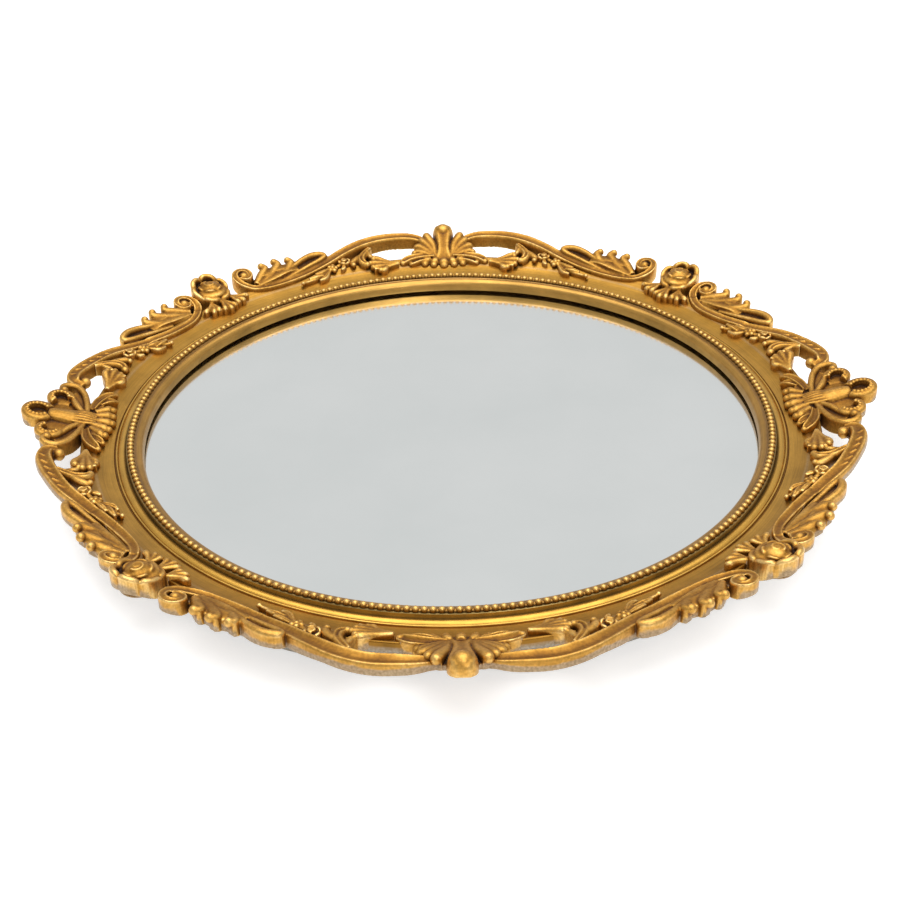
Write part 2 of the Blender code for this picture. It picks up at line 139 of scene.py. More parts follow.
# Tops of cross sections: (share of half width, height over the crown in half widths)
ROUND = both_sides([(0, 0), (0.38, -0.07), (0.7, -0.26), (0.92, -0.55), (1, -0.9)])
CREASED = both_sides([(0, -0.35), (0.1, -0.25), (0.34, 0), (0.62, -0.14), (0.9, -0.5), (1, -0.95)])
RIMMED = both_sides([(0, -0.5), (0.3, -0.4), (0.55, -0.12), (0.78, 0), (0.95, -0.3), (1, -0.75)])
SCOOP = both_sides([(0, -0.22), (0.3, -0.16), (0.55, -0.06), (0.78, -0.14), (0.93, -0.48), (1, -0.9)])
SPOON_END = both_sides([(0, 0), (0.3, -0.04), (0.55, -0.13), (0.78, -0.3), (0.93, -0.55), (1, -0.9)])
PLATE = both_sides([(0, 0), (0.6, -0.03), (1, -0.12)])
# Outer side first: the scroll's outer ridge is the higher one
TWIN = [(-1, -0.7), (-0.94, -0.25), (-0.78, -0.02), (-0.58, -0.08), (-0.3, -0.28), (0.05, -0.34),
        (0.4, -0.25), (0.62, -0.12), (0.8, -0.08), (0.95, -0.35), (1, -0.8)]


# Carving tools

def smooth_path(points, steps):
    """Catmull-Rom points through a list of equal-length tuples."""
    points = [Vector(point) for point in points]
    padded = [2 * points[0] - points[1]] + points + [2 * points[-1] - points[-2]]
    path = []
    for a, b, c, d in zip(padded, padded[1:], padded[2:], padded[3:]):
        for step in range(steps):
            s = step / steps
            path.append((2 * b + (c - a) * s + (2 * a - 5 * b + 4 * c - d) * s ** 2
                         + (3 * b - a - 3 * c + d) * s ** 3) / 2)
    return path + [points[-1]]


def heading(angle):
    """Plan direction at an angle in radians."""
    return Vector((math.cos(angle), math.sin(angle)))


def on_rim(degrees, reach):
    """Plan position at an angle round the tray, reach beyond the ring's edge."""
    return heading(math.radians(degrees)) * (EDGE + reach)


def cove_height(radius):
    """Height of the straight line of the cove at a radius."""
    share = min(1, max(0, (radius - GROOVE) / (EDGE - GROOVE)))
    return GROOVE_Z + (EDGE_Z - GROOVE_Z) * share


def foot_height(radius):
    """Where a casting ends below: sunk into the cove, or on the rising underside of the rim."""
    if radius < EDGE:
        return cove_height(radius) - BURY
    return EDGE_Z - EDGE_WALL + min(RIM_SLOPE * max(0, radius - EDGE - RIM_LEDGE), RIM_LIFT)


def loft(bm, rings):
    """A closed body through rings of equally many points."""
    verts = [bm.verts.new(point) for point in rings[0]]
    edges = [bm.edges.new(pair) for pair in zip(verts, verts[1:] + verts[:1])]
    bmesh.ops.edgeloop_fill(bm, edges=edges)
    for ring in rings[1:]:
        grown = bmesh.ops.extrude_edge_only(bm, edges=edges)["geom"]
        fresh = {item for item in grown if isinstance(item, bmesh.types.BMVert)}
        edges = [item for item in grown if isinstance(item, bmesh.types.BMEdge)]
        verts = [next(edge.other_vert(vert) for edge in vert.link_edges if edge.other_vert(vert) in fresh)
                 for vert in verts]
        for vert, point in zip(verts, ring):
            vert.co = point
    bmesh.ops.edgeloop_fill(bm, edges=edges)


class Carving:
    """An ornament in the making: parts laid over one another on the rim, fused when it is cast.

    Its crown stands over the ring's edge by rise, and climbs outward by slope, less and less by bend.
    """

    def __init__(self, rise, slope, bend=0.0):
        self.bm = bmesh.new()
        self.rise = rise
        self.slope = slope
        self.bend = bend

    def crown(self, radius):
        """Height of the ornament's top at a radius, never too low over the cove."""
        reach = radius - EDGE
        height = EDGE_Z + self.rise + self.slope * reach - self.bend * reach ** 2
        return max(height, cove_height(radius) + LEAST_RELIEF) if reach < 0 else height

    def run(self, section, spots, halves, crowns, ending=None):
        """A body with a section along plan spots, from its crowns down to the foot.

        With an ending, its section changes to that one toward the last spot.
        """
        rings = []
        for index, spot in enumerate(spots):
            along = (spots[min(index + 1, len(spots) - 1)] - spots[max(index - 1, 0)]).normalized()
            side = Vector((-along.y, along.x)) * halves[index]
            late = (index / (len(spots) - 1)) ** ENDING_EASE
            ring = []
            for (across, up), (_, last_up) in zip(section, ending or section):
                place = spot + side * across
                up += (last_up - up) * late
                ring.append(Vector((place.x, place.y, crowns[index] + up * halves[index])))
            for corner in (ring[-1], ring[0]):
                radius = corner.xy.length
                foot = foot_height(radius)
                if radius > EDGE:
                    foot = max(foot, self.crown(radius) - DEEPEST)
                ring.append(Vector((corner.x, corner.y, min(corner.z - 0.4, foot))))
            rings.append(ring)
        loft(self.bm, rings)

    def stem(self, section, stations, steps=5, ending=None):
        """A stem along stations of (degrees, reach, half width, rise over the crown)."""
        path = smooth_path(stations, steps)
        spots = [on_rim(place[0], place[1]) for place in path]
        halves = [max(0.2, place[2]) for place in path]
        crowns = [self.crown(spot.length) + place[3] for spot, place in zip(spots, path)]
        self.run(section, spots, halves, crowns, ending)

    def pair(self, section, stations):
        """A stem and its mirror image across the ornament's axis."""
        self.stem(section, stations)
        self.stem(section, [(-degrees, *rest) for degrees, *rest in stations])

    def ball(self, degrees, reach, radius, rise=0.0):
        """A ball whose top stands at the crown plus rise."""
        spot = on_rim(degrees, reach)
        place = Matrix.Translation((*spot, self.crown(spot.length) + rise - radius))
        bmesh.ops.create_uvsphere(self.bm, u_segments=16, v_segments=12, radius=radius, matrix=place)

    def balls(self, degrees, reach, radius, rise=0.0):
        """A ball and its mirror image."""
        self.ball(degrees, reach, radius, rise)
        self.ball(-degrees, reach, radius, rise)

    def dome(self, spot, height, radius, squash):
        """A flattened ball with its middle at a height."""
        place = Matrix.Translation((*spot, height)) @ Matrix.Diagonal((1, 1, squash, 1))
        bmesh.ops.create_uvsphere(self.bm, u_segments=24, v_segments=16, radius=radius, matrix=place)

    def petal(self, centre, radius, middle, spread, thick, rim, flare=0.0):
        """A petal standing on an arc round a centre, its edge at the height rim gives for each spot."""
        steps = 10
        spots = []
        crowns = []
        for step in range(steps + 1):
            share = 2 * step / steps - 1
            spot = centre + heading(middle + share * spread) * (radius + flare * (1 - share ** 2))
            spots.append(spot)
            crowns.append(rim(spot) - 1.5 * share ** 4)
        self.run(ROUND, spots, [thick] * len(spots), crowns)

    def curl(self, centre, start, end, turns, thick, crown):
        """A spiral ridge from a start radius to an end radius."""
        steps = int(turns * 16)
        spots = []
        for step in range(steps + 1):
            share = step / steps
            spots.append(centre + heading(share * turns * 2 * math.pi) * (start + (end - start) * share))
        self.run(ROUND, spots, [thick] * len(spots), [crown] * len(spots))

    def cast(self, name, gilt_half=0.0, voxel=VOXEL):
        """Fuse the parts into one skin, soften it as a mould does, and note where its patina lies."""
        rough = bpy.data.meshes.new(name + "_model")
        bmesh.ops.recalc_face_normals(self.bm, faces=self.bm.faces)
        self.bm.to_mesh(rough)
        self.bm.free()
        model = bpy.data.objects.new(name + "_model", rough)
        bpy.context.scene.collection.objects.link(model)
        fuse = model.modifiers.new("fuse", "REMESH")
        fuse.mode = "VOXEL"
        fuse.voxel_size = voxel
        soften = model.modifiers.new("soften", "SMOOTH")
        soften.factor = 0.5
        soften.iterations = SOFTEN_PASSES
        thin = model.modifiers.new("thin", "DECIMATE")
        thin.ratio = KEPT_FACES
        graph = bpy.context.evaluated_depsgraph_get()
        mesh = bpy.data.meshes.new_from_object(model.evaluated_get(graph))
        mesh.name = name
        bpy.data.objects.remove(model)
        note_patina(mesh, gilt_half)
        mesh.transform(Matrix.Scale(MM, 4))
        mesh.shade_smooth()
        return mesh


def between(value, low, high):
    """Share of the way from low to high, kept from 0 to 1."""
    return min(1, max(0, (value - low) / (high - low)))


def note_patina(mesh, gilt_half):
    """Store on each vertex how far it stands out of what is round it, near and wide, and where it is bare.

    The outer walls are bare near the foot, but for those within gilt_half of the ornament's axis.
    """
    bm = bmesh.new()
    bm.from_mesh(mesh)
    bm.normal_update()
    before = [(vert.co.copy(), vert.normal.copy()) for vert in bm.verts]
    notes = {}
    done = 0
    for name, passes in (("crease", CREASE_PASSES), ("relief", PATINA_PASSES)):
        for _ in range(passes - done):
            bmesh.ops.smooth_vert(bm, verts=bm.verts, factor=1, use_axis_x=True, use_axis_y=True,
                                  use_axis_z=True)
        done = passes
        notes[name] = [(spot - vert.co).dot(normal) for vert, (spot, normal) in zip(bm.verts, before)]
    bm.free()
    bare = []
    for spot, normal in before:
        radius = spot.xy.length
        outward = between(normal.xy.dot(spot.xy) / radius - 0.4 * normal.z, 0.25, 0.65)
        low = between(foot_height(radius) + BARE_BAND - spot.z, 0, BARE_FADE)
        gilt = radius < EDGE - 0.3 or abs(spot.y) < gilt_half
        bare.append(0 if gilt else outward * low)
    notes["bare"] = bare
    for name, values in notes.items():
        mesh.attributes.new(name, "FLOAT", "POINT").data.foreach_set("value", values)


# Materials

def linear(code):
    """An sRGB hex colour as linear RGBA."""
    parts = [int(code[k:k + 2], 16) / 255 for k in (1, 3, 5)]
    return [part / 12.92 if part <= 0.04045 else ((part + 0.055) / 1.055) ** 2.4 for part in parts] + [1]


def set_inputs(tree, node, inputs):
    """Give a node's sockets their values or links; a node stands for its first output."""
    for key, value in inputs.items():
        if isinstance(value, bpy.types.Node):
            value = value.outputs[0]
        if isinstance(value, bpy.types.NodeSocket):
            tree.links.new(value, node.inputs[key])
        else:
            node.inputs[key].default_value = value


def add(tree, kind, inputs=None, stops=None, **settings):
    """Add a shader node with its settings, its ramp stops and its input values or links."""
    node = tree.nodes.new("ShaderNode" + kind)
    for key, value in settings.items():
        setattr(node, key, value)
    set_inputs(tree, node, inputs or {})
    if stops:
        ramp = node.color_ramp.elements
        for place, colour in stops[1:-1]:
            ramp.new(place).color = linear(colour)
        for element, (place, colour) in ((ramp[0], stops[0]), (ramp[-1], stops[-1])):
            element.position = place
            element.color = linear(colour)
    return node


def new_material(name):
    """A material with an empty tree but for a Principled shader on its output."""
    material = bpy.data.materials.new(name)
    material.use_nodes = True
    tree = material.node_tree
    return material, tree, tree.nodes["Principled BSDF"]


def per_mm(size):
    """Noise scale whose features are about this many millimetres across."""
    return 1 / (size * MM)


def gilded_casting():
    """Bronze-gold leaf over cast composition: worn bright on what stands out, umber glaze left in the hollows
    and deepened there by painted shade from ambient occlusion, bare speckled grey-beige casting low on the
    outer walls."""
    material, tree, shader = new_material("gilded_composition_antiqued")
    spot = add(tree, "TexCoord").outputs["Object"]
    relief = add(tree, "Attribute", attribute_name="relief").outputs["Fac"]
    bare_wall = add(tree, "Attribute", attribute_name="bare").outputs["Fac"]
    blotch = add(tree, "TexNoise", {"Vector": spot, "Scale": per_mm(9), "Detail": 4, "Roughness": 0.6})
    grain = add(tree, "TexNoise", {"Vector": spot, "Scale": per_mm(0.9), "Detail": 3})
    shade = add(tree, "AmbientOcclusion", {"Distance": 4.0 * MM}, samples=8)
    crease = add(tree, "Attribute", attribute_name="crease").outputs["Fac"]
    stands = add(tree, "Math", {0: crease, 1: 2.2, 2: relief}, operation="MULTIPLY_ADD")
    worn = add(tree, "MapRange", {"Value": stands, "From Min": -1.1, "From Max": 1.15})
    uneven = add(tree, "Math", {0: blotch, 1: -0.5}, operation="ADD")
    tone = add(tree, "Math", {0: uneven, 1: 0.5, 2: worn}, operation="MULTIPLY_ADD")
    # Painted shade: where ambient occlusion finds the casting closed in, its gold is pushed toward umber.
    painted_occlusion_shade = add(tree, "MapRange", {"Value": shade.outputs["AO"], "From Min": 0.25, "From Max": 0.85,
                                        "To Min": -0.34, "To Max": 0.05})
    tone = add(tree, "Math", {0: tone, 1: painted_occlusion_shade}, operation="ADD", use_clamp=True)
    gold = add(tree, "ValToRGB", {"Fac": tone}, stops=[
        (0.0, "#2C1604"), (0.2, "#58340D"), (0.4, "#8A5C1C"), (0.58, "#A8782F"), (0.78, "#CE9C4B"),
        (1.0, "#E6BE76")])
    speck = add(tree, "MapRange", {"Value": grain, "From Min": 0.3, "From Max": 0.7,
                                   "To Min": 0.74, "To Max": 1.12})
    gold = add(tree, "Mix", {0: 1.0, "A": gold, "B": speck}, data_type="RGBA", blend_type="MULTIPLY")
    ragged = add(tree, "Math", {0: uneven, 1: 1.6, 2: bare_wall}, operation="MULTIPLY_ADD")
    bare = add(tree, "MapRange", {"Value": ragged, "From Min": 0.35, "From Max": 0.75, "To Max": 0.8})
    raw = add(tree, "ValToRGB", {"Fac": grain}, stops=[
        (0.3, "#8E7654"), (0.55, "#B49A7A"), (0.75, "#C8B498")])
    colour = add(tree, "Mix", {0: bare, "A": gold.outputs[2], "B": raw}, data_type="RGBA")
    metal = add(tree, "MapRange", {"Value": tone, "From Min": 0.1, "From Max": 0.6,
                                   "To Min": 0.62, "To Max": 0.92})
    covered = add(tree, "Math", {0: 1.0, 1: bare}, operation="SUBTRACT")
    metal = add(tree, "Math", {0: metal, 1: covered}, operation="MULTIPLY")
    rough = add(tree, "MapRange", {"Value": tone, "To Min": 0.62, "To Max": 0.36})
    bump = add(tree, "Bump", {"Height": grain, "Strength": 0.25, "Distance": 0.15 * MM})
    set_inputs(tree, shader, {"Base Color": colour.outputs[2], "Metallic": metal,
                              "Roughness": rough, "Normal": bump})
    return material


def gilded_turning():
    """Gold leaf on a turned and gessoed ring: circling glaze streaks, orange-brown in the cove, lighter on
    the rounds and on the cove by the groove as painted highlight, dark in the groove and in the crevices as
    painted shade, and grey-green where the leaf is thin beside the pearls."""
    material, tree, shader = new_material("gilded_gesso_turned")
    spot = add(tree, "TexCoord").outputs["Object"]
    flat = add(tree, "VectorMath", {0: spot, 1: (1, 1, 0)}, operation="MULTIPLY")
    reach = add(tree, "VectorMath", {0: flat}, operation="LENGTH")
    height = add(tree, "SeparateXYZ", {0: spot})
    place = add(tree, "MapRange", {"Value": reach.outputs["Value"], "From Min": LIP * MM,
                                   "From Max": EDGE * MM})
    unit = add(tree, "VectorMath", {0: flat}, operation="NORMALIZE")
    turn = add(tree, "SeparateXYZ", {0: unit})
    streak_way = add(tree, "CombineXYZ", {"X": turn.outputs["X"], "Y": turn.outputs["Y"], "Z": place})
    # Turning marks about 18 mm long and 0.4 mm wide
    streak_stretch = add(tree, "VectorMath", {0: streak_way, 1: (7, 7, 60)}, operation="MULTIPLY")
    streak = add(tree, "TexNoise", {"Vector": streak_stretch, "Scale": 1.0, "Detail": 5, "Roughness": 0.65})
    blotch = add(tree, "TexNoise", {"Vector": spot, "Scale": per_mm(14), "Detail": 5, "Roughness": 0.62})
    grain = add(tree, "TexNoise", {"Vector": spot, "Scale": per_mm(0.8), "Detail": 3})
    span = EDGE - LIP

    def share(radius):
        return (radius - LIP) / span

    # Colours across the profile hold painted light: lighter on the outer torus, the raised line and the cove
    # by the groove as painted highlight, dark at the groove as painted shade.
    tone = add(tree, "ValToRGB", {"Fac": place}, stops=[
        (0.0, "#B98F4A"), (share(LIP + 0.8), "#BC9048"), (share(LIP + 2.0), "#B08440"),
        (share(PEARL_CIRCLE - FILLET - 0.3), "#9A7440"), (share(PEARL_CIRCLE - FILLET), "#9A7440"),
        (share(PEARL_CIRCLE + FILLET + 0.2), "#9C8450"), (share(PEARL_CIRCLE + FILLET + 1.4), "#D0A048"),
        (share(GROOVE - 1.3), "#CA9A42"), (share(GROOVE - 0.3), "#D2A650"), (share(GROOVE + 0.2), "#7C5018"),
        (share(GROOVE + 0.9), "#C0903C"), (share(GROOVE + 5), "#B28434"), (1.0, "#946A28")])
    wander = add(tree, "Math", {0: streak, 1: blotch}, operation="ADD")
    glaze_share = add(tree, "MapRange", {"Value": wander, "From Min": 0.7, "From Max": 1.3,
                                         "To Min": 0.62, "To Max": 1.2})
    colour = add(tree, "Mix", {0: 1.0, "A": tone, "B": glaze_share}, data_type="RGBA", blend_type="MULTIPLY")
    # Painted shade: dark brown mixed in where ambient occlusion within 2 mm finds the ring's crevices closed
    # in.
    shade = add(tree, "AmbientOcclusion", {"Distance": 2.0 * MM}, samples=8)
    painted_crevice_shade = add(tree, "MapRange", {"Value": shade.outputs["AO"], "From Min": 0.3, "From Max": 0.8,
                                   "To Min": 0.3, "To Max": 0.0})
    colour = add(tree, "Mix", {0: painted_crevice_shade, "A": colour.outputs[2], "B": linear("#4A2A0C")}, data_type="RGBA")
    low = add(tree, "MapRange", {"Value": height.outputs["Z"], "From Min": (EDGE_Z - 1.6) * MM,
                                 "From Max": (EDGE_Z - 3.6) * MM})
    outer = add(tree, "MapRange", {"Value": reach.outputs["Value"], "From Min": (EDGE - 6) * MM,
                                   "From Max": (EDGE - 5) * MM})
    under = add(tree, "MapRange", {"Value": height.outputs["Z"], "From Min": (UNDER_Z + 0.6) * MM,
                                   "From Max": (UNDER_Z + 0.2) * MM})
    bare = add(tree, "Math", {0: low, 1: outer}, operation="MULTIPLY")
    bare = add(tree, "Math", {0: bare, 1: under}, operation="MAXIMUM")
    raw = add(tree, "ValToRGB", {"Fac": grain}, stops=[
        (0.3, "#9A876A"), (0.55, "#B8AB94"), (0.75, "#CBC2B0")])
    colour = add(tree, "Mix", {0: bare, "A": colour.outputs[2], "B": raw}, data_type="RGBA")
    metal = add(tree, "MapRange", {"Value": bare, "To Min": 0.92, "To Max": 0.0})
    rough = add(tree, "MapRange", {"Value": wander, "From Min": 0.7, "From Max": 1.3,
                                   "To Min": 0.38, "To Max": 0.27})
    uneven = add(tree, "Math", {0: grain, 1: 0.35, 2: streak}, operation="MULTIPLY_ADD")
    bump = add(tree, "Bump", {"Height": uneven, "Strength": 0.2, "Distance": 0.2 * MM})
    set_inputs(tree, shader, {"Base Color": colour.outputs[2], "Metallic": metal,
                              "Roughness": rough, "Normal": bump})
    return material


def gilded_pearls():
    """Gold lighter toward the crown of each pearl and dark brown toward its seat: painted light on the crowns
    and painted shade between the pearls.
    """
    material, tree, shader = new_material("gilded_composition_rubbed")
    spot = add(tree, "TexCoord").outputs["Object"]
    height = add(tree, "SeparateXYZ", {0: spot})
    blotch = add(tree, "TexNoise", {"Vector": spot, "Scale": per_mm(7), "Detail": 3})
    grain = add(tree, "TexNoise", {"Vector": spot, "Scale": per_mm(0.7), "Detail": 2})
    # Painted shade and light: by height up each pearl, dark brown at the seat between pearls and lighter at
    # the crown.
    bead_shading = add(tree, "MapRange", {"Value": height.outputs["Z"], "From Min": SEAT_Z * MM,
                                    "From Max": CREST_Z * MM})
    uneven = add(tree, "Math", {0: blotch, 1: 0.5, 2: bead_shading}, operation="MULTIPLY_ADD")
    gold = add(tree, "ValToRGB", {"Fac": uneven}, stops=[
        (0.25, "#4E3612"), (0.6, "#8A6226"), (0.95, "#BA8C40"), (1.0, "#D0A55C")])
    bump = add(tree, "Bump", {"Height": grain, "Strength": 0.15, "Distance": 0.1 * MM})
    rough = add(tree, "MapRange", {"Value": uneven, "To Min": 0.55, "To Max": 0.3})
    set_inputs(tree, shader, {"Base Color": gold, "Metallic": 0.75, "Roughness": rough, "Normal": bump})
    return material


def silvered_glass():
    """Float glass silvered behind: an even cool grey mirror with a faint film of dust."""
    material, tree, shader = new_material("silvered_float_glass")
    spot = add(tree, "TexCoord").outputs["Object"]
    film = add(tree, "TexNoise", {"Vector": spot, "Scale": per_mm(60), "Detail": 4, "Roughness": 0.55})
    colour = add(tree, "ValToRGB", {"Fac": film}, stops=[(0.3, "#F1F5F4"), (0.7, "#F7FAF9")])
    rough = add(tree, "MapRange", {"Value": film, "To Min": 0.1, "To Max": 0.13})
    set_inputs(tree, shader, {"Base Color": colour, "Metallic": 1.0, "Roughness": rough})
    return material


def hardboard():
    """Pressed hardboard: dull brown with pale and dark fibres."""
    material, tree, shader = new_material("brown_hardboard")
    spot = add(tree, "TexCoord").outputs["Object"]
    bent = add(tree, "TexNoise", {"Vector": spot, "Scale": per_mm(12), "Detail": 3})
    fibre_way = add(tree, "VectorMath", {0: bent.outputs["Color"], 1: (12 * MM, 12 * MM, 0), 2: spot},
                    operation="MULTIPLY_ADD")
    fibre = add(tree, "TexNoise", {"Vector": fibre_way, "Scale": per_mm(1.6), "Detail": 6, "Roughness": 0.75})
    colour = add(tree, "ValToRGB", {"Fac": fibre}, stops=[
        (0.28, "#4A3220"), (0.5, "#6E4E33"), (0.72, "#8C6B4A")])
    bump = add(tree, "Bump", {"Height": fibre, "Strength": 0.3, "Distance": 0.15 * MM})
    set_inputs(tree, shader, {"Base Color": colour, "Roughness": 0.82, "Normal": bump})
    return material


def plated_steel():
    """Zinc plated sheet steel: cool grey with rolling lines and dull spots."""
    material, tree, shader = new_material("zinc_plated_steel")
    spot = add(tree, "TexCoord").outputs["Object"]
    drawn = add(tree, "VectorMath", {0: spot, 1: (1, 0.12, 1)}, operation="MULTIPLY")
    lines = add(tree, "TexNoise", {"Vector": drawn, "Scale": per_mm(0.5), "Detail": 4})
    dull = add(tree, "TexNoise", {"Vector": spot, "Scale": per_mm(4), "Detail": 3})
    colour = add(tree, "ValToRGB", {"Fac": dull}, stops=[
        (0.3, "#A9A8A2"), (0.55, "#C4C4C0"), (0.8, "#D2D2CE")])
    rough = add(tree, "MapRange", {"Value": lines, "To Min": 0.24, "To Max": 0.5})
    bump = add(tree, "Bump", {"Height": lines, "Strength": 0.12, "Distance": 0.1 * MM})
    set_inputs(tree, shader, {"Base Color": colour, "Metallic": 1.0, "Roughness": rough, "Normal": bump})
    return material


def moulded_rubber():
    """Moulded black rubber: matt, with a fine pitted skin and a bloom of dust."""
    material, tree, shader = new_material("moulded_black_rubber")
    spot = add(tree, "TexCoord").outputs["Object"]
    pits = add(tree, "TexNoise", {"Vector": spot, "Scale": per_mm(0.6), "Detail": 3})
    bloom = add(tree, "TexNoise", {"Vector": spot, "Scale": per_mm(5), "Detail": 3})
    colour = add(tree, "ValToRGB", {"Fac": bloom}, stops=[
        (0.35, "#1C1C1C"), (0.75, "#33322F")])
    bump = add(tree, "Bump", {"Height": pits, "Strength": 0.25, "Distance": 0.1 * MM})
    set_inputs(tree, shader, {"Base Color": colour, "Roughness": 0.78, "Normal": bump})
    return material


# Placing

def place_piece(name, mesh, material, node, body="tray"):
    """Put a finished mesh, in metres, on its body in place of a node."""
    mesh.materials.clear()
    mesh.materials.append(material)
    piece = bpy.data.objects.new(name, mesh)
    bpy.context.scene.collection.objects.link(piece)
    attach(piece, body)
    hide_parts(node)


def set_round(mesh, degrees, way=1):
    """A copy of a mesh turned round the tray, mirrored where its eighth runs the other way."""
    copy = mesh.copy()
    if way < 0:
        copy.transform(Matrix.Scale(-1, 4, (0, 1, 0)))
        copy.flip_normals()
    copy.transform(Matrix.Rotation(math.radians(degrees), 4, "Z"))
    return copy


def finished(bm, name, smooth_angle=None):
    """Close a bmesh in millimetres into a smooth mesh in metres."""
    bmesh.ops.remove_doubles(bm, verts=bm.verts, dist=1e-4)
    bmesh.ops.recalc_face_normals(bm, faces=bm.faces)
    mesh = bpy.data.meshes.new(name)
    bm.to_mesh(mesh)
    bm.free()
    mesh.transform(Matrix.Scale(MM, 4))
    mesh.shade_smooth()
    if smooth_angle:
        mesh.set_sharp_from_angle(angle=math.radians(smooth_angle))
    return mesh


def arc(start, end, rise, steps):
    """Points of a circular arc from start to end, raised on its left side, or sunk if rise is negative."""
    start = Vector(start)
    end = Vector(end)
    chord = end - start
    way = math.copysign(1, rise)
    left = Vector((-chord.y, chord.x)).normalized() * way
    tall = abs(rise)
    radius = (chord.length / 2) ** 2 / (2 * tall) + tall / 2
    centre = (start + end) / 2 + left * (tall - radius)
    half = math.asin(min(1, chord.length / 2 / radius))
    along = chord.normalized()
    points = []
    for step in range(steps + 1):
        angle = half - 2 * half * step / steps
        points.append(tuple(centre - along * math.sin(angle) * radius + left * math.cos(angle) * radius))
    return points


def turned(bm, profile, steps, closed=True):
    """Spin a profile of (radius, height) points round the Z axis."""
    verts = [bm.verts.new((radius, 0, height)) for radius, height in profile]
    pairs = list(zip(verts, verts[1:]))
    if closed:
        pairs.append((verts[-1], verts[0]))
    edges = [bm.edges.new(pair) for pair in pairs]
    bmesh.ops.spin(bm, geom=verts + edges, cent=(0, 0, 0), axis=(0, 0, 1), angle=2 * math.pi,
                   steps=steps, use_merge=True)


# Tray

def ring_mesh():
    """The turned ring: lip, inner torus, pearl seat, outer torus, raised line, groove, cove and back."""
    lip_z = glass_high.z + SEAT_GAP
    line_start = GROOVE - 2 * LINE_BEAD
    profile = [(LIP, lip_z), (LIP, lip_z + LIP_EDGE - 0.25)]
    profile += arc((LIP + 0.1, lip_z + LIP_EDGE), (LIP + INNER_TORUS_WIDTH + 0.15, SEAT_Z - 0.3),
                   INNER_TORUS_BULGE, 14)
    profile += [(PEARL_CIRCLE - FILLET + 0.15, SEAT_Z), (PEARL_CIRCLE + FILLET - 0.15, SEAT_Z)]
    profile += [(PEARL_CIRCLE + FILLET, SEAT_Z - 0.15), (PEARL_CIRCLE + FILLET, HOLLOW_Z + 0.2)]
    profile += arc((PEARL_CIRCLE + FILLET + 0.1, HOLLOW_Z), (line_start, GROOVE_Z), OUTER_TORUS_BULGE, 10)
    profile += arc((line_start + 0.02, GROOVE_Z - 0.1), (GROOVE, GROOVE_Z - 0.1), LINE_BEAD * 0.9, 6)
    profile += [(GROOVE + 0.1, GROOVE_Z - 0.45), (GROOVE + 0.35, GROOVE_Z - 0.5)]
    profile += arc((GROOVE + 0.6, GROOVE_Z - 0.2), (EDGE - EDGE_ROUND, EDGE_Z), -COVE_DISH, 14)
    profile += arc((EDGE - EDGE_ROUND + 0.02, EDGE_Z), (EDGE, EDGE_Z - EDGE_ROUND), 0.17, 4)[1:]
    back = REBATE + BACK_WIDTH
    profile += [(EDGE, EDGE_Z - EDGE_WALL + 0.3), (EDGE - 0.3, EDGE_Z - EDGE_WALL)]
    profile += [(back + 0.2, UNDER_Z + 0.3), (back - 0.2, UNDER_Z), (REBATE + 0.2, UNDER_Z)]
    profile += [(REBATE, UNDER_Z + 0.2), (REBATE, lip_z)]
    bm = bmesh.new()
    turned(bm, profile, RING_STEPS)
    return finished(bm, "gilded_ring", 40)


def pearl_mesh():
    """Pearls in a row on a thin strip round the crest."""
    radius = PEARL_RADIUS * PEARL_SHARE
    bm = bmesh.new()
    strip_z = SEAT_Z + 0.05
    strip = arc((PEARL_CIRCLE - STRIP_HALF, strip_z), (PEARL_CIRCLE + STRIP_HALF, strip_z), STRIP_BULGE, 5)
    turned(bm, strip, RING_STEPS)
    for k in range(PEARL_COUNT):
        turn = Matrix.Rotation(2 * math.pi * k / PEARL_COUNT, 4, "Z")
        place = turn @ Matrix.Translation((PEARL_CIRCLE, 0, CREST_Z - radius))
        bmesh.ops.create_uvsphere(bm, u_segments=10, v_segments=6, radius=radius, matrix=place)
    return finished(bm, "pearls")


def disc_mesh(name, radius, low, high, arris):
    """A round plate with its edges eased."""
    bm = bmesh.new()
    profile = [(0, low), (radius - arris, low), (radius, low + arris), (radius, high - arris),
               (radius - arris, high), (0, high)]
    turned(bm, profile, RING_STEPS // 2, closed=False)
    return finished(bm, name, 30)


# Ornament

def volute(degrees, reach):
    """Stations of a band that winds in round an eye, from the ring's side over its outer side."""
    stations = []
    turn = ((-62, 6.3, 1.9), (-30, 5.1, 1.75), (0, 4.4, 1.6), (35, 3.9, 1.5), (75, 3.6, 1.45),
            (115, 3.4, 1.4), (155, 3.2, 1.35), (200, 3.0, 1.3), (245, 2.8, 1.2), (290, 2.5, 1.1),
            (335, 2.2, 1.0))
    for angle, radius, half in turn:
        along = math.cos(math.radians(angle)) * radius
        out = math.sin(math.radians(angle)) * radius
        stations.append((degrees + math.degrees(along / (EDGE + reach)), reach + out, half, 0.4))
    return stations


def moved(stations, shift, out=0):
    """Stations moved round the rim and outward."""
    return [(degrees + shift, reach + out, *rest) for degrees, reach, *rest in stations]


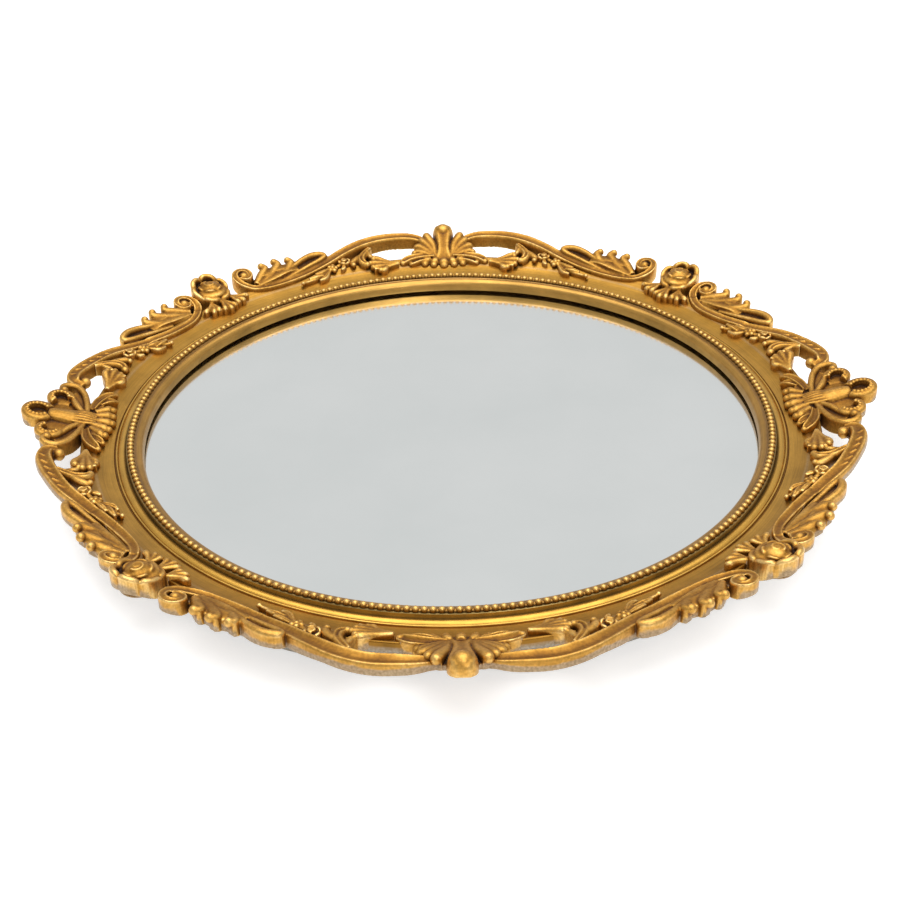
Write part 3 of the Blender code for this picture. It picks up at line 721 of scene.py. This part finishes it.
def scroll_leaf(carving, shift, out):
    """The acanthus of a scroll: a rolled lobe, flames with hooked tips and the web between them."""
    lobe_rim = [(31.0, 3.0, 1.0, 0), (28.4, 5.2, 1.2, 0.2), (26.2, 7.8, 1.4, 0.4), (24.2, 9.4, 1.6, 0.5),
                (22.6, 9.0, 1.6, 0.5), (22.0, 7.4, 1.5, 0.4), (23.0, 5.6, 1.3, 0.2), (25.2, 3.8, 1.1, 0),
                (28.0, 1.8, 1.0, -0.2), (31.4, 0.0, 0.9, -0.6)]
    carving.stem(ROUND, moved(lobe_rim, shift, out))
    webs = [
        [(22.8, 7.6, 1.8, -1.7), (25.2, 5.8, 2.4, -1.6), (28.0, 3.4, 2.4, -1.4)],
        [(36.2, 1.4, 2.0, -0.5), (33.0, 3.4, 3.6, -0.3), (29.9, 4.8, 3.4, -0.3), (27.6, 4.4, 2.2, -0.9)],
        [(35.0, 5.2, 1.8, -0.4), (31.6, 6.6, 2.6, -0.3), (28.8, 6.2, 2.0, -0.4)],
    ]
    for web in webs:
        carving.stem(PLATE, moved(web, shift, out))
    flames = [
        [(35.4, -0.2, 1.4, -0.2), (32.4, 1.8, 2.1, 0), (29.8, 4.6, 2.4, 0.3), (28.4, 7.6, 2.1, 0.6),
         (28.5, 9.6, 1.5, 0.7)],
        [(36.2, 0.4, 1.4, -0.2), (34.2, 2.8, 2.1, 0), (32.2, 5.8, 2.4, 0.3), (30.8, 8.8, 2.1, 0.6),
         (30.9, 10.8, 1.5, 0.7)],
        [(36.6, 1.8, 1.3, -0.2), (35.7, 3.6, 1.9, 0), (34.5, 6.0, 2.2, 0.3), (33.3, 8.4, 1.9, 0.6),
         (33.5, 10.2, 1.4, 0.7)],
    ]
    for flame in flames:
        carving.stem(ROUND, moved(flame, shift, out))
        degrees, reach = flame[-1][:2]
        carving.ball(degrees + 0.15 + shift, reach + out, 1.7, 0.9)


def shell_scroll_mesh():
    """A scroll beside a shell: a long twin-ridged arch, its sweep, and a volute by the rose."""
    carving = Carving(1.15, 0.53, 0.0135)
    carving.stem(TWIN, [(3.0, 10.8, 2.0, -1.8), (4.7, 12.8, 2.6, -0.6), (6.8, 13.9, 3.1, 0),
                        (10.4, 14.4, 3.4, 0), (14.2, 12.4, 3.4, 0), (18.0, 8.3, 3.1, 0), (22.0, 3.6, 2.8, 0),
                        (26.0, 0.4, 2.5, 0), (30.0, -1.6, 2.3, 0), (34.0, -2.0, 2.1, 0),
                        (37.0, -0.8, 1.9, 0.2)] + volute(37.6, 8.0))
    carving.ball(37.6, 8.0, 2.1, 0.7)
    scroll_leaf(carving, 0, 0)
    return carving.cast("shell_scroll")


def cartouche_scroll_mesh():
    """A scroll beside a cartouche: its shorter arch ends in a ball and carries slanting leaf ribs."""
    carving = Carving(0.7, 0.42, 0.007)
    carving.stem(TWIN, [(9.1, 7.6, 2.0, -0.6), (9.7, 11.4, 2.6, 0), (11.6, 12.8, 3.1, 0),
                        (14.0, 11.9, 3.4, 0), (16.8, 10.0, 3.3, 0), (20.0, 7.4, 3.1, 0), (24.0, 2.8, 2.8, 0),
                        (28.0, -0.7, 2.5, 0), (32.0, -2.9, 2.3, 0), (36.0, -3.4, 2.1, 0),
                        (38.6, -1.8, 1.9, 0.2)] + volute(39.2, 7.2))
    carving.ball(39.2, 7.2, 2.1, 0.7)
    carving.ball(10.4, 7.4, 2.3, 0.4)
    for degrees, reach in ((11.6, 12.6), (13.2, 12.3), (14.8, 11.4), (16.4, 10.3), (18.0, 9.2), (19.6, 7.8)):
        rib = [(degrees - 0.5, reach + 1.3, 0.5, -0.6), (degrees + 0.4, reach - 1.3, 0.5, -0.7)]
        carving.stem(ROUND, rib, 3)
    scroll_leaf(carving, 2.2, 0.4)
    return carving.cast("cartouche_scroll")


def acanthus_mesh(name, shift):
    """The three-lobed leaf that curls from the arch's inner side down to the cove."""
    carving = Carving(2.2, 0.3)
    lobes = [
        [(13.4, 8.6, 1.3, -0.8), (14.4, 6.0, 1.8, -0.4), (15.5, 2.4, 2.2, 0.1), (15.6, -1.0, 2.2, 0.5),
         (14.9, -3.4, 1.6, 0.3)],
        [(14.2, 5.4, 1.0, -0.6), (16.1, 2.6, 1.5, -0.1), (17.4, -0.2, 1.6, 0.2), (17.5, -2.6, 1.2, 0.1)],
        [(14.0, 5.6, 0.9, -0.6), (13.8, 2.6, 1.2, -0.2), (13.2, 0.2, 1.0, -0.1)],
    ]
    for section, lobe in zip((CREASED, ROUND, ROUND), lobes):
        carving.stem(section, moved(lobe, shift))
        degrees, reach, half = lobe[-1][:3]
        carving.ball(degrees + shift, reach + 0.4, half + 0.1, 0.5)
    return carving.cast(name)


def spray_mesh(name, rose, blossom, leaf, end):
    """A small rose, a blossom and leaves on a stem along the cove."""
    carving = Carving(2.1, 0.3)
    carving.stem(ROUND, [(*rose, 1.0, -0.8), (*blossom, 1.1, -0.8), (*leaf, 0.9, -0.6), (*end, 0.6, -0.4)])
    middle = on_rim(*rose)
    top = carving.crown(middle.length)
    for k in range(5):
        carving.petal(middle, 2.15, 2 * math.pi * k / 5 + 0.4, 0.75, 0.6, lambda spot: top - 0.2, 0.3)
    carving.curl(middle, 1.45, 0.2, 1.5, 0.4, top + 0.4)
    carving.ball(*rose, 2.2, -0.5)
    for k in range(5):
        spot = on_rim(*blossom) + heading(2 * math.pi * k / 5) * 1.5
        carving.ball(math.degrees(math.atan2(spot.y, spot.x)), spot.length - EDGE, 1.2, 0)
    carving.ball(*blossom, 0.85, 0.4)
    degrees, reach = leaf
    leaves = [
        [(blossom[0] + 0.6, blossom[1] + 0.2, 0.7, -0.4), (degrees - 0.9, reach + 2.5, 1.2, 0),
         (degrees + 0.4, reach + 2.0, 0.6, -0.2)],
        [(degrees - 1.0, reach + 0.6, 0.8, -0.3), (degrees + 0.5, reach + 0.5, 1.4, 0.1),
         (degrees + 2.0, reach + 0.1, 0.6, -0.2)],
        [(blossom[0] + 0.8, blossom[1] - 1.6, 0.7, -0.4), (degrees - 1.2, reach - 1.2, 1.3, 0),
         (degrees + 0.2, reach - 2.4, 0.6, -0.2)],
        [(rose[0] + 0.4, rose[1] - 2.2, 0.7, -0.5), (rose[0] + 0.6, rose[1] - 4.0, 1.2, -0.1),
         (rose[0] + 1.2, rose[1] - 5.4, 0.6, -0.2)],
    ]
    for stations in leaves:
        carving.stem(CREASED, stations)
    carving.ball(*end, 1.0, 0.1)
    return carving.cast(name)


def plume_mesh(name, shift, out):
    """A trumpet of four flutes with rolled ends, along the ring's edge."""
    carving = Carving(2.3, 0.35)
    web = [(9.2, -4.4, 1.2, -0.4), (11.4, -4.2, 2.8, -0.5), (13.8, -4.0, 4.2, -0.3)]
    carving.stem(PLATE, moved(web, shift, out))
    for degrees, reach in ((12.6, -7.6), (13.9, -5.4), (14.2, -2.8), (13.4, -0.4)):
        middle = -4.5 + 0.45 * (reach + 4.5)
        flute = [(8.8, -4.5, 0.8, -0.1), (11.0, middle, 1.1, 0.1), (degrees - 0.7, reach, 1.65, 0.6),
                 (degrees, reach, 1.45, 0.3)]
        carving.stem(ROUND, moved(flute, shift, out))
        carving.ball(degrees + shift, reach + out, 1.5, 0.6)
    return carving.cast(name)


def ears(carving, lobes):
    """The drooping leaves beside a skirt, with raised rims."""
    for lobe in lobes:
        carving.pair(RIMMED, lobe)
        degrees, reach, half, rise = lobe[-1]
        carving.balls(degrees - 0.15, reach + 0.2, half + 0.1, rise + 0.1)


def shell_mesh():
    """A scooped tongue that ends in a round boss, between stepped flutes, over a skirt of petals."""
    carving = Carving(1.4, 0.40)
    carving.stem(SCOOP, [(0, -3.9, 5.6, -0.4), (0, -2.0, 5.3, 0.2), (0, 0.6, 4.0, 0.7), (0, 3.6, 3.2, 0.9),
                         (0, 8.0, 3.6, 1.1), (0, 12.0, 4.5, 1.3), (0, 14.6, 4.9, 1.3), (0, 16.6, 4.7, 0.8),
                         (0, 18.0, 4.1, -0.2), (0, 19.0, 3.3, -1.4), (0, 19.6, 2.5, -2.7),
                         (0, 19.8, 1.6, -3.8)], ending=SPOON_END)
    carving.ball(0, 15.5, 4.0, 1.9)
    for step, (degrees, reach) in enumerate(((2.95, 14.4), (3.85, 11.8), (4.75, 8.7), (5.3, 5.4))):
        drop = -0.35 * step
        carving.pair(ROUND, [(1.6, -0.8, 1.3, 0), (degrees * 0.64, reach * 0.42, 1.9, 0.5 + drop / 2),
                             (degrees * 0.9, reach * 0.76, 2.2, 0.5 + drop),
                             (degrees, reach - 1.2, 1.9, drop)])
        carving.balls(degrees, reach - 1.7, 1.9, 0.2 + drop)
    carving.stem(PLATE, [(0, -4.6, 4.0, -0.8), (0, -1.0, 6.0, -0.8), (0, 3.0, 8.5, -1.2), (0, 7.0, 9.5, -1.8),
                         (0, 11.0, 9.0, -2.6), (0, 13.4, 7.0, -3.2)])
    carving.stem(ROUND, [(0, -2.8, 1.9, 0.2), (0, -4.6, 2.4, 0.5), (0, -5.7, 2.1, 0.1)])
    for degrees, reach in ((2.0, -5.4), (3.7, -4.7)):
        carving.pair(ROUND, [(degrees * 0.7, -2.2, 1.2, 0.2), (degrees * 0.92, reach + 1.7, 2.1, 0.5),
                             (degrees, reach, 1.8, 0.1)])
        carving.balls(degrees, reach + 0.1, 1.8, 0.1)
    carving.ball(0, -5.5, 2.1, 0.1)
    ears(carving, [
        [(1.8, 0.0, 1.4, 0.2), (4.2, -0.2, 2.2, 0.4), (6.4, -1.2, 2.5, 0.5), (7.6, -2.6, 2.1, 0.3),
         (8.1, -3.5, 1.5, 0)],
        [(2.6, -1.6, 1.2, 0.2), (4.6, -2.9, 1.9, 0.4), (5.9, -4.0, 1.7, 0.2), (6.5, -4.7, 1.2, -0.1)],
    ])
    return carving.cast("shell", gilt_half=4.6)


def beaded_loop(carving, degrees, reach, radius, half, start, end, beads):
    """An open loop with a smooth rim and beads on its inner slope."""
    def spot(share, size):
        angle = math.radians(start + (end - start) * share)
        across = math.degrees(math.sin(angle) * size / (EDGE + reach))
        return degrees + across, reach + math.cos(angle) * size

    steps = 12
    carving.stem(ROUND, [(*spot(k / steps, radius), half, 0.3) for k in range(steps + 1)], 3)
    for k in range(beads):
        carving.ball(*spot((k + 0.5) / beads, radius - half * 0.5), 0.85, 0.7)


def cartouche_mesh():
    """A ribbed tongue, a beaded loop round its end, smaller loops and spoons beside it, a sunburst below."""
    carving = Carving(1.4, 0.27)
    carving.stem(SPOON_END, [(0, -3.4, 3.8, 0.2), (0, 1.0, 5.0, 0.8), (0, 5.0, 4.9, 1.2), (0, 9.0, 4.4, 1.1),
                             (0, 12.0, 3.9, 0.8), (0, 13.6, 3.3, 0.2), (0, 14.3, 2.4, -1.0)])
    for degrees in (-1.5, -0.9, -0.3, 0.3, 0.9, 1.5):
        carving.stem(ROUND, [(degrees * 0.8, -4.2, 0.5, 0.5), (degrees, 0.4, 0.7, 1.3 - 0.35 * degrees ** 2),
                             (degrees * 0.8, 7.5, 0.4, 0.5 - 0.35 * degrees ** 2)])
    carving.stem(PLATE, [(0, 1.5, 7.0, -1.6), (0, 7.0, 13.0, -1.6), (0, 11.5, 14.5, -1.8),
                         (0, 14.5, 11.0, -2.0), (0, 18.0, 5.5, -2.2), (0, 22.0, 3.6, -2.4)])
    carving.pair(PLATE, [(4.5, 8.6, 3.2, -1.9), (4.5, 12.0, 3.6, -2.0), (4.5, 14.8, 2.6, -2.1)])
    beaded_loop(carving, 0, 17.7, 4.9, 1.7, -145, 145, 14)
    beaded_loop(carving, 4.5, 12.0, 3.9, 1.6, -65, 170, 9)
    beaded_loop(carving, -4.5, 12.0, 3.9, 1.6, 65, -170, 9)
    carving.pair(ROUND, [(1.8, 0.4, 1.2, 0.1), (4.3, 1.8, 1.3, 0.3), (6.7, 4.4, 1.4, 0.4),
                         (8.1, 8.0, 1.4, 0.4), (8.2, 11.4, 1.4, 0.4), (7.5, 13.5, 1.3, 0.3),
                         (6.6, 13.3, 1.2, 0.3)])
    carving.balls(6.5, 12.4, 1.8, 0.7)
    carving.pair(PLATE, [(3.0, 2.2, 1.8, -1.2), (5.4, 5.6, 2.8, -1.6), (6.6, 9.6, 2.6, -1.9)])
    carving.pair(ROUND, [(1.7, 2.0, 1.1, 0.2), (3.3, 5.2, 1.4, 0.3), (5.2, 8.0, 1.1, -0.3)])
    carving.stem(PLATE, [(-5.6, -2.4, 1.6, -0.4), (-3.0, -3.2, 2.4, -0.4), (0, -3.4, 2.8, -0.4),
                         (3.0, -3.2, 2.4, -0.4), (5.6, -2.4, 1.6, -0.4)])
    carving.stem(ROUND, [(0, -3.6, 1.4, 0.4), (0, -6.4, 2.0, 1.0), (0, -8.4, 2.2, 1.2), (0, -9.8, 1.8, 0.8)])
    for degrees, reach in ((2.05, -10.0), (4.0, -9.1)):
        carving.pair(ROUND, [(degrees * 0.6, -2.6, 1.3, 0.4), (degrees * 0.86, (reach - 2.4) / 2, 1.9, 1.0),
                             (degrees * 0.98, reach + 2.0, 2.1, 1.2), (degrees, reach + 0.8, 1.8, 0.8)])
        carving.balls(degrees, reach + 0.9, 1.8, 0.8)
    carving.ball(0, -9.7, 1.8, 0.8)
    ears(carving, [
        [(3.0, -1.0, 1.4, 0.3), (5.4, -2.0, 2.1, 0.7), (7.3, -4.0, 2.2, 1.1), (8.2, -5.7, 1.8, 1.0),
         (8.6, -6.7, 1.2, 0.5)],
        [(4.8, -3.2, 1.2, 0.4), (5.8, -5.4, 1.8, 1.2), (6.4, -7.2, 1.6, 1.1), (6.7, -8.2, 1.1, 0.5)],
    ])
    return carving.cast("cartouche", voxel=FINE_VOXEL)


def rose_mesh():
    """A full rose tilted to the tray's middle: a domed heart in a cup of rolled petals, over a palmette."""
    carving = Carving(1.7, 0.22)
    outset = 6.9
    spot = on_rim(0, outset)

    def rim(place):
        return EDGE_Z + 5.6 + 0.36 * (place.length - EDGE - outset)

    for k in range(6):
        angle = 2 * math.pi * (k + 0.5) / 6
        carving.petal(spot, 6.7 + 0.3 * (k % 2), angle, 0.56, 1.2, rim, 1.0)
    carving.dome(spot, foot_height(spot.length) + 1.3, 6.9, 0.19)
    carving.dome(spot, EDGE_Z + 3.1, 7.4, 0.32)
    carving.dome(spot, EDGE_Z + 2.6, 5.6, 0.84)
    for k in range(5):
        carving.petal(spot, 4.2, 2 * math.pi * k / 5, 0.58, 0.65, lambda place: EDGE_Z + 6.1, 0.5)
    carving.curl(spot, 2.6, 0.4, 1.4, 0.5, EDGE_Z + 7.35)
    for middle, back in ((0, -8.8), (3.5, -6.8)):
        lay = carving.pair if middle else carving.stem
        for side, short in ((-1.15, 0.9), (0, 0), (1.15, 0.9)):
            degrees = middle + side
            reach = back + short + (0.9 * side if middle else 0)
            lay(ROUND, [(middle * 0.62, -0.4, 0.8, 0.2), (middle * 0.8 + side * 0.55, reach * 0.55, 1.0, 0.6),
                        (degrees * 0.98, reach + 1.2, 1.3, 0.9), (degrees, reach, 0.8, 0.3)])
    return carving.cast("rose")


# Underside

def foot_piece_mesh(node):
    """A turned rubber foot with a rounded tip and a moulded step at its root."""
    low, high = node_box(node)
    middle = (low + high) / 2
    radius = (high.x - low.x) / 2
    tip = radius * FOOT_TIP_SHARE
    bm = bmesh.new()
    profile = [(0, 0), (tip - FOOT_ROUND, 0)] + arc((tip - FOOT_ROUND, 0), (tip, FOOT_ROUND), -0.35, 5)[1:]
    profile += [(radius - 0.5, high.z - 1.2), (radius - 0.1, high.z - 1.0), (radius, high.z - 0.7)]
    profile += [(radius, high.z), (0, high.z)]
    turned(bm, profile, 40, closed=False)
    bmesh.ops.translate(bm, vec=(middle.x, middle.y, 0), verts=bm.verts)
    return finished(bm, node + "_rubber", 40)


def add_tray(gold_turned, gold_pearl, mirror, board):
    """Ring, pearls, mirror and board."""
    place_piece("gilded_ring", ring_mesh(), gold_turned, "frame_ring")
    place_piece("pearls", pearl_mesh(), gold_pearl, "pearl_moulding")
    glass = disc_mesh("mirror", GLASS_RADIUS, glass_low.z, glass_high.z - SILVERING_DEPTH, GLASS_ARRIS)
    place_piece("mirror", glass, mirror, "mirror_glass")
    back = disc_mesh("board", GLASS_RADIUS, board_low.z, board_high.z, BOARD_ARRIS)
    place_piece("board", back, board, "back_board")


def add_ornament(gold):
    """The castings: each is modelled once, beside a shell or a cartouche, and set round the rim."""
    by_shell = {
        "scroll": shell_scroll_mesh(),
        "acanthus": acanthus_mesh("shell_acanthus", 0),
        "plume": plume_mesh("shell_plume", 0, 0),
        "spray": spray_mesh("shell_spray", (18.9, 1.5), (21.6, -1.5), (25.0, -5.4), (28.6, -7.0)),
    }
    by_cartouche = {
        "scroll": cartouche_scroll_mesh(),
        "acanthus": acanthus_mesh("cartouche_acanthus", 1.6),
        "plume": plume_mesh("cartouche_plume", 0.7, 2.2),
        "spray": spray_mesh("cartouche_spray", (21.3, 0.9), (24.0, -1.9), (26.9, -5.4), (28.8, -7.8)),
    }
    for eighth, (axis, way) in EIGHTHS.items():
        for kind, mesh in (by_shell if axis in "ns" else by_cartouche).items():
            node = kind + "_" + eighth
            place_piece("gilded_" + node, set_round(mesh, COMPASS[axis], way), gold, node)
    shell = shell_mesh()
    cartouche = cartouche_mesh()
    rose = rose_mesh()
    for node, mesh, axis in (("shell_north", shell, "n"), ("shell_south", shell, "s"),
                             ("cartouche_east", cartouche, "e"), ("cartouche_west", cartouche, "w")):
        place_piece("gilded_" + node, set_round(mesh, COMPASS[axis]), gold, node)
    for corner, degrees in CORNERS.items():
        node = "rose_" + corner
        place_piece("gilded_" + node, set_round(rose, degrees), gold, node)


def add_underside(steel, rubber):
    """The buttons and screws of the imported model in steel, and the feet."""
    for side in COMPASS:
        for kind in ("turn_button_", "button_screw_"):
            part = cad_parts[kind + side]
            part.data.materials.clear()
            part.data.materials.append(steel)
    for corner in CORNERS:
        node = "foot_" + corner
        place_piece("rubber_" + node, foot_piece_mesh(node), rubber, node)


# Studio

FLOOR_GLOW = 0.62
ROOM_LIGHT = 0.45
ROOM_IN_METAL = 0.23
ROOM_IN_VIEW = 0.55


def add_floor():
    """A plain pale floor that reads as white paper and keeps the shadow."""
    bm = bmesh.new()
    bmesh.ops.create_grid(bm, x_segments=1, y_segments=1, size=6)
    mesh = bpy.data.meshes.new("floor")
    bm.to_mesh(mesh)
    bm.free()
    material, tree, shader = new_material("white_paper")
    ray = add(tree, "LightPath")
    seen = add(tree, "Math", {0: ray.outputs["Is Camera Ray"], 1: ray.outputs["Is Glossy Ray"]},
               operation="MAXIMUM")
    glow = add(tree, "Math", {0: seen, 1: FLOOR_GLOW}, operation="MULTIPLY")
    set_inputs(tree, shader, {"Base Color": linear("#D8D8D8"), "Roughness": 0.9, "Specular IOR Level": 0.0,
                              "Emission Color": (1, 1, 1, 1), "Emission Strength": glow})
    mesh.materials.append(material)
    floor = bpy.data.objects.new("floor", mesh)
    bpy.context.scene.collection.objects.link(floor)


def add_light(name, place, size, watts):
    """A round softbox aimed at the tray's middle."""
    lamp = bpy.data.lights.new(name, "AREA")
    lamp.shape = "DISK"
    lamp.size = size
    lamp.energy = watts
    holder = bpy.data.objects.new(name, lamp)
    holder.location = place
    holder.rotation_euler = (-Vector(place)).to_track_quat("-Z", "Y").to_euler()
    bpy.context.scene.collection.objects.link(holder)


def add_studio():
    """The floor, two softboxes, and a white room that shows brighter in view and in metal than it lights."""
    add_floor()
    add_light("softbox_above", (0.05, 0.08, 1.1), 1.5, 14)
    add_light("softbox_front", (0.3, -0.9, 0.85), 0.6, 2.4)
    world = bpy.data.worlds.new("white_room")
    world.use_nodes = True
    tree = world.node_tree
    ray = add(tree, "LightPath")
    seen = add(tree, "Math", {0: ray.outputs["Is Camera Ray"], 1: ray.outputs["Is Transmission Ray"]},
               operation="MAXIMUM")
    level = add(tree, "Math", {0: ray.outputs["Is Glossy Ray"], 1: ROOM_IN_METAL, 2: ROOM_LIGHT},
                operation="MULTIPLY_ADD")
    level = add(tree, "Math", {0: seen, 1: ROOM_IN_VIEW, 2: level}, operation="MULTIPLY_ADD")
    set_inputs(tree, tree.nodes["Background"], {"Color": (1, 1, 1, 1), "Strength": level})
    bpy.context.scene.world = world


def add_camera():
    """The photograph's view: fitted to the ring of pearls, which it sees from about 31 degrees up."""
    distance = 4.8118 * PEARL_CIRCLE
    elevation = math.radians(30.71)
    tray_turn = math.radians(0.7)
    roll = math.radians(1.24)
    image_width = 900
    pearl_radius_px = 316.25
    middle_px = (450.72, 410.01)
    back = Vector((-math.sin(tray_turn) * math.cos(elevation), -math.cos(tray_turn) * math.cos(elevation),
                   math.sin(elevation)))
    data = bpy.data.cameras.new("camera")
    data.sensor_width = 36
    data.lens = data.sensor_width * pearl_radius_px * distance / PEARL_CIRCLE / image_width
    data.shift_x = (image_width / 2 - middle_px[0]) / image_width
    data.shift_y = (middle_px[1] - image_width / 2) / image_width
    data.clip_start = 0.01
    camera = bpy.data.objects.new("camera", data)
    camera.location = (Vector((0, 0, CREST_Z)) + back * distance) * MM
    level = (-back).to_track_quat("-Z", "Y").to_matrix().to_4x4()
    camera.rotation_euler = (level @ Matrix.Rotation(-roll, 4, "Z")).to_euler()
    bpy.context.scene.collection.objects.link(camera)
    bpy.context.scene.camera = camera


add_tray(gilded_turning(), gilded_pearls(), silvered_glass(), hardboard())
add_ornament(gilded_casting())
add_underside(plated_steel(), moulded_rubber())
add_studio()
add_camera()
bpy.context.scene.view_settings.view_transform = "Standard"
